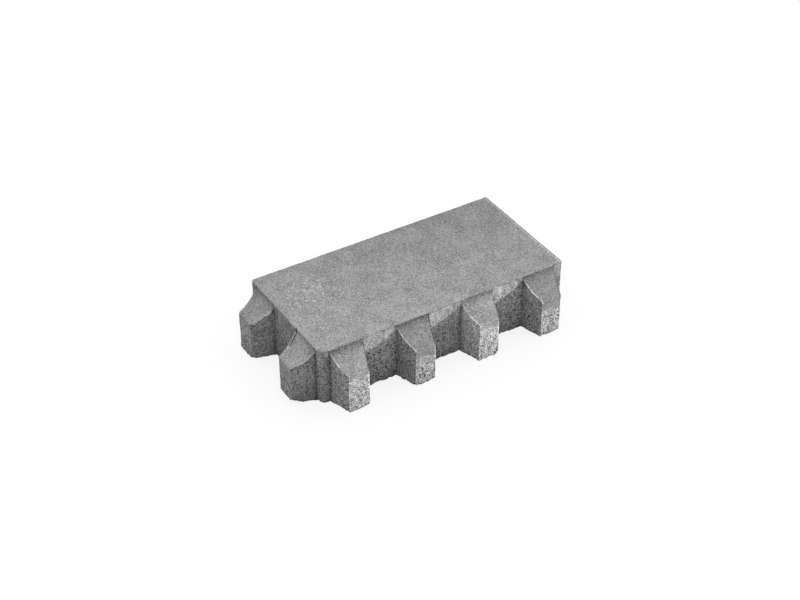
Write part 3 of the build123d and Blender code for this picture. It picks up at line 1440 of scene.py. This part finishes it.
@dataclass(frozen=True)
class RawConcrete:
    """Raw grey concrete from a block press.

    To the eye: a fine sandy skin on the pressed faces, and open concrete on the walls, where pale and
    dark grains of sand lie side by side and every void is a fleck of painted shade. Dry and dull all over.

    Attributes:
        name: the material's name.
        skin: places and colours of the pressed skin, from dark to pale.
        wall: places and colours of open concrete, from dark to pale.
        void: colour of the painted shade in a void.
        fleck: colour of a pale fleck on the wearing face.
        fine_grain: size of the fine sand in millimetres, and so are the next six.
        coarse_grain: size of the coarse sand.
        paste: size of the lumps in the cement paste.
        mottle: size of the faint clouds on the skin.
        drag: width of the upright drag marks.
        void_cell: distance between voids.
        fleck_cell: distance between flecks.
        skin_mix: weights of fine grain, coarse grain, paste and mottle in the skin.
        wall_mix: weights of fine grain, coarse grain, paste and drag marks in open concrete.
        void_strength: how much of the painted shade a void shows.
        fleck_strength: how much of its own colour a fleck shows.
        roughness: how dull it is, from 0 to 1.
        sheen: level of its faint mirror light.
        relief_depth: depth of the fine relief in millimetres.
        relief_strength: share of that relief that is shown.
        highlight_place: where the painted highlight on the plain end's arris lies along the block, in
            millimetres.
        highlight_width: distance in which the line fades to each side, in millimetres.
    """

    name: str = "raw_pressed_concrete"
    skin: tuple[tuple[float, str], ...] = ((0.1, "626262"), (0.5, "9A9A9A"), (0.9, "C6C6C6"))
    wall: tuple[tuple[float, str], ...] = (
        (0.16, "2C2C2C"),
        (0.34, "7A7A7A"),
        (0.56, "A6A6A6"),
        (0.88, "CCCCCC"),
    )
    void: str = "363636"
    fleck: str = "CCCCCC"
    fine_grain: float = 0.9
    coarse_grain: float = 1.6
    paste: float = 1.7
    mottle: float = 24.0
    drag: float = 2.4
    void_cell: float = 3.4
    fleck_cell: float = 4.2
    skin_mix: tuple[float, ...] = (0.60, 0.10, 0.10, 0.20)
    wall_mix: tuple[float, ...] = (0.46, 0.26, 0.12, 0.16)
    void_strength: float = 0.92
    fleck_strength: float = 0.64
    roughness: float = 0.92
    sheen: float = 0.25
    relief_depth: float = 0.6
    relief_strength: float = 0.6
    highlight_place: float = 171.7
    highlight_width: float = 1.5

    def material(self) -> bpy.types.Material:
        """Builds the node material.

        Skin and open concrete are each a weighted sum of grains and clouds, coloured in steps. Where
        there are more voids, the open concrete has more contrast too.

        Returns:
            The material, which reads Object coordinates and the shell's own attributes.
        """
        made = bpy.data.materials.new(self.name)
        tree = fresh_tree(made)
        place = add_node(tree, "ShaderNodeTexCoord").outputs["Object"]
        pressed, pore, tone, voids, flecks = [
            add_node(tree, "ShaderNodeAttribute", attribute_name=name).outputs["Fac"]
            for name in SHELL_FIELDS
        ]
        drawn_up = add_node(
            tree, "ShaderNodeVectorMath", {0: place, 1: (1.0, 1.0, 0.2)}, operation="MULTIPLY"
        ).outputs[0]
        fine, fine_gap = self.grains(tree, place, self.fine_grain)
        coarse, coarse_gap = self.grains(tree, place, self.coarse_grain)
        paste = self.cloud(tree, place, self.paste)
        mottle = self.cloud(tree, place, self.mottle)
        drag = self.cloud(tree, drawn_up, self.drag)
        skin_share = weighted(tree, list(zip((fine, coarse, paste, mottle), self.skin_mix)))
        even = weighted(tree, list(zip((fine, coarse, paste, drag), self.wall_mix)), -0.5)
        contrast = weighted(tree, [(voids, 0.50)], 0.93)
        wall_share = reckon(tree, "MULTIPLY_ADD", even, contrast, 0.5)
        flecked = self.spots(tree, place, self.fleck_cell, flecks, paste, self.fleck_strength)
        skin = blend(tree, flecked, colour_steps(tree, skin_share, self.skin), linear(self.fleck))
        mixed = blend(tree, pressed, colour_steps(tree, wall_share, self.wall), skin)
        # Voids and pits take the void colour, painted shade in the holes.
        opened = self.spots(tree, place, self.void_cell, voids, paste, self.void_strength)
        holed = blend(tree, reckon(tree, "MAXIMUM", pore, opened), mixed, linear(self.void))
        # Painted highlight on the arris at the plain end, which faces the lamp.
        bright = reckon(tree, "MULTIPLY", tone, self.edge_highlight(tree, place, flecks))
        toned = add_node(
            tree, "ShaderNodeVectorMath", {0: holed, "Scale": bright}, operation="SCALE"
        ).outputs[0]
        rough = weighted(tree, [(coarse_gap, -0.7), (wall_share, 1.0)])
        smooth = weighted(tree, [(fine_gap, -0.25), (paste, 0.15)])
        height = add_node(
            tree, "ShaderNodeMix", {0: pressed, 2: rough, 3: smooth}, data_type="FLOAT"
        ).outputs[0]
        relief = add_node(
            tree,
            "ShaderNodeBump",
            {"Strength": self.relief_strength, "Distance": self.relief_depth * MM, "Height": height},
        ).outputs[0]
        surface = {"Base Color": toned, "Normal": relief}
        surface |= {"Roughness": self.roughness, "Specular IOR Level": self.sheen}
        shader = add_node(tree, "ShaderNodeBsdfPrincipled", surface).outputs[0]
        add_node(tree, "ShaderNodeOutputMaterial", {"Surface": shader})
        return made

    def grains(self, tree: Tree, place: Socket, size: float) -> tuple[Socket, Socket]:
        """Packed grains.

        Args:
            tree: node tree of a material.
            place: coordinates in metres.
            size: size of the grains in millimetres.
        Returns:
            A random number for each grain, and the distance from its middle.
        """
        cells = add_node(tree, "ShaderNodeTexVoronoi", {"Vector": place, "Scale": per_metre(size)}).outputs
        label = add_node(tree, "ShaderNodeSeparateColor", {0: cells["Color"]}).outputs[0]
        return label, cells["Distance"]

    def spots(
        self, tree: Tree, place: Socket, size: float, share: Socket, ragged: Socket, strength: float
    ) -> Socket:
        """Scattered small spots of uneven outline.

        Each cell holds one spot at most. Its radius falls with the cell's random number, from a largest
        one that grows with the share, so that a smaller share makes fewer and smaller spots.

        Args:
            tree: node tree of a material.
            place: coordinates in metres.
            size: size of the cells in millimetres.
            share: how many spots there are, from 0 to about 1.
            ragged: a cloudy field that makes the outlines uneven.
            strength: the value in a spot.
        Returns:
            The strength in a spot and 0 outside it.
        """
        label, gap = self.grains(tree, place, size)
        radius = weighted(tree, [(share, 0.48), (label, -1.0), (ragged, 0.16)], -0.08)
        return span(tree, reckon(tree, "SUBTRACT", radius, gap), -0.03, 0.10, 0.0, strength)

    def edge_highlight(self, tree: Tree, place: Socket, face: Socket) -> Socket:
        """Brightness along the wearing face's plain end: a painted highlight on the arris towards the
        lamp, inside a duller border.

        The line is brightest at one distance along the block and fades to both sides of it.

        Args:
            tree: node tree of a material.
            place: coordinates in metres.
            face: a value that is above 0.1 on the wearing face only.
        Returns:
            A factor, 1 everywhere else.
        """
        along = add_node(tree, "ShaderNodeSeparateXYZ", {0: place}).outputs[0]
        middle, width = self.highlight_place * MM, self.highlight_width * MM
        away = reckon(tree, "ABSOLUTE", reckon(tree, "SUBTRACT", along, middle))
        line = span(tree, away, 0.4 * width, width, 1.0, 0.0)
        border = span(tree, along, middle + 0.4 * width, middle + width)
        change = weighted(tree, [(line, 0.5), (border, -0.2)])
        return reckon(tree, "MULTIPLY_ADD", change, reckon(tree, "GREATER_THAN", face, 0.1), 1.0)

    def cloud(self, tree: Tree, place: Socket, size: float) -> Socket:
        """A cloudy field from 0 to 1.

        Args:
            tree: node tree of a material.
            place: coordinates in metres.
            size: size of the largest lumps in millimetres.
        Returns:
            The field.
        """
        lumps = add_node(
            tree,
            "ShaderNodeTexNoise",
            {"Vector": place, "Scale": per_metre(size), "Detail": 3.0, "Roughness": 0.6},
        ).outputs[0]
        return span(tree, lumps, 0.25, 0.75)


# Studio


@dataclass(frozen=True)
class Lamp:
    """A soft lamp: direction from the paver, distance, size and light level.

    Attributes:
        name: object name.
        toward: direction from the paver to the lamp.
        distance: metres from the paver.
        size: width and height in metres.
        level: brightness of a white card that faces the lamp at the paver.
    """

    name: str
    toward: tuple[float, float, float]
    distance: float
    size: tuple[float, float]
    level: float

    def build(self, aim: Vector) -> None:
        """Makes the lamp, facing its aim.

        Args:
            aim: the place that it lights.
        """
        data = bpy.data.lights.new(self.name, "AREA")
        data.shape = "RECTANGLE"
        data.size, data.size_y = self.size
        data.energy = self.level * math.pi**2 * self.distance**2
        lamp = bpy.data.objects.new(self.name, data)
        toward = Vector(self.toward).normalized()
        turn = toward.to_track_quat("Z", "Y").to_matrix().to_4x4()
        lamp.matrix_world = Matrix.Translation(aim + toward * self.distance) @ turn
        bpy.context.scene.collection.objects.link(lamp)


@dataclass(frozen=True)
class Studio:
    """Plain studio: a pale floor, an even sky and one low soft lamp from the right.

    Attributes:
        sky: brightness of the sky as a light.
        floor_half: half the floor's side in metres.
        floor_bounce: colour of the floor as it lights the paver.
        floor_white: share of plain white where the floor is seen, the rest being lit and shadowed.
        lamps: the lamps.
        lamp_aim: the place that they light.
        azimuth: the camera's bearing from the front, in degrees towards the right.
        elevation: its height above level, in degrees.
        distance: its distance from its target in metres.
        target: the place in the middle of the picture.
        lens: focal length in millimetres on a sensor 36 mm wide.
    """

    sky: float = 1.03
    floor_half: float = 4.0
    floor_bounce: str = "585858"
    floor_white: float = 0.82
    lamps: tuple[Lamp, ...] = (Lamp("side_lamp", (0.868, -0.496, 0.0), 2.2, (0.20, 0.08), 1.0),)
    lamp_aim: tuple[float, float, float] = (0.0, 0.0, 0.046)
    azimuth: float = -31.83
    elevation: float = 37.077
    distance: float = 2.262909
    target: tuple[float, float, float] = (0.000427, 0.019344, 0.021301)
    lens: float = 80.2037

    def build(self) -> None:
        """Makes the floor, the sky, the lamps and the camera."""
        self.make_floor()
        self.make_sky()
        for lamp in self.lamps:
            lamp.build(Vector(self.lamp_aim))
        self.make_camera()

    def seen(self, tree: Tree) -> Socket:
        """Tells the rays that show the background itself, direct, mirrored or through glass.

        Args:
            tree: node tree of the floor or the sky.
        Returns:
            1 for such a ray and 0 for one that only carries light.
        """
        path = add_node(tree, "ShaderNodeLightPath").outputs
        mirrored = reckon(tree, "MAXIMUM", path["Is Camera Ray"], path["Is Glossy Ray"])
        return reckon(tree, "MAXIMUM", mirrored, path["Is Transmission Ray"])

    def make_floor(self) -> None:
        """A level square: mostly plain white where it is seen, with the paver's soft shadow kept."""
        half = self.floor_half
        corners = np.array([[-half, -half, 0], [half, -half, 0], [half, half, 0], [-half, half, 0]])
        mesh = bpy.data.meshes.new("floor")
        mesh.from_pydata(corners.tolist(), [], [(0, 1, 2, 3)])
        made = bpy.data.materials.new("matt_white_floor")
        tree = fresh_tree(made)
        card = add_node(tree, "ShaderNodeBsdfDiffuse", {"Color": linear("FFFFFF")}).outputs[0]
        white = add_node(tree, "ShaderNodeEmission", {"Strength": 1.0}).outputs[0]
        shown = add_node(tree, "ShaderNodeMixShader", {0: self.floor_white, 1: card, 2: white}).outputs[0]
        dull = add_node(tree, "ShaderNodeBsdfDiffuse", {"Color": linear(self.floor_bounce)}).outputs[0]
        both = add_node(tree, "ShaderNodeMixShader", {0: self.seen(tree), 1: dull, 2: shown}).outputs[0]
        add_node(tree, "ShaderNodeOutputMaterial", {"Surface": both})
        mesh.materials.append(made)
        floor = bpy.data.objects.new("floor", mesh)
        bpy.context.scene.collection.objects.link(floor)
        floor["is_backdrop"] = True

    def make_sky(self) -> None:
        """An even white sky, plain white where it is seen."""
        world = bpy.data.worlds.new("studio_sky")
        tree = fresh_tree(world)
        level = span(tree, self.seen(tree), 0.0, 1.0, self.sky, 1.0)
        white = linear("FFFFFF")
        sky = add_node(tree, "ShaderNodeBackground", {"Color": white, "Strength": level}).outputs[0]
        add_node(tree, "ShaderNodeOutputWorld", {"Surface": sky})
        bpy.context.scene.world = world

    def make_camera(self) -> None:
        """The camera, placed by azimuth, elevation and distance from its target."""
        a, e = math.radians(self.azimuth), math.radians(self.elevation)
        back = Vector((math.sin(a) * math.cos(e), -math.cos(a) * math.cos(e), math.sin(e)))
        data = bpy.data.cameras.new("camera")
        data.sensor_fit = "HORIZONTAL"
        data.sensor_width = 36.0
        data.lens = self.lens
        data.clip_start = 0.01
        data.clip_end = 50.0
        camera = bpy.data.objects.new("camera", data)
        camera.matrix_world = (
            Matrix.Translation(Vector(self.target) + back * self.distance)
            @ back.to_track_quat("Z", "Y").to_matrix().to_4x4()
        )
        bpy.context.scene.collection.objects.link(camera)
        bpy.context.scene.camera = camera


# The piece


def shell_object(shell: PaverShell, name: str) -> bpy.types.Object:
    """Turns the shell into a smooth-shaded mesh object in metres, with its attributes.

    Args:
        shell: the finished shell.
        name: object name.
    Returns:
        The object, linked to the scene.
    """
    mesh = bpy.data.meshes.new(name)
    corners = np.concatenate([shell.quads.ravel(), shell.tris.ravel()])
    sizes = np.concatenate([np.full(len(shell.quads), 4), np.full(len(shell.tris), 3)])
    mesh.vertices.add(len(shell.points))
    mesh.vertices.foreach_set("co", (shell.points * MM).ravel())
    mesh.loops.add(len(corners))
    mesh.loops.foreach_set("vertex_index", corners.astype(np.int32))
    mesh.polygons.add(len(sizes))
    mesh.polygons.foreach_set("loop_start", (np.cumsum(sizes) - sizes).astype(np.int32))
    mesh.polygons.foreach_set("use_smooth", np.ones(len(sizes), bool))
    for key in SHELL_FIELDS:
        values = getattr(shell, key).astype(np.float32)
        mesh.attributes.new(key, "FLOAT", "POINT").data.foreach_set("value", values)
    mesh.update(calc_edges=True)
    mesh.validate()
    mesh.set_sharp_from_angle(angle=math.radians(50))
    made = bpy.data.objects.new(name, mesh)
    bpy.context.scene.collection.objects.link(made)
    return made


def main() -> None:
    """Builds the paver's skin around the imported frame, dresses it and sets up the studio."""
    logging.basicConfig(level=logging.INFO, format="%(name)s: %(message)s")
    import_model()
    cad_low, cad_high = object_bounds()
    bpy.context.scene.view_settings.view_transform = "Standard"
    shell = PaverShell()
    shell.build()
    PressMarks(shell, np.array(cad_low) / MM, np.array(cad_high) / MM).apply()
    paver = shell_object(shell, "paver_cast")
    paver.data.materials.append(RawConcrete().material())
    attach(paver, "root")
    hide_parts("paver")
    LOG.info("paver_cast: %d faces", len(paver.data.polygons))
    Studio().build()


if __name__ == "__main__":
    main()
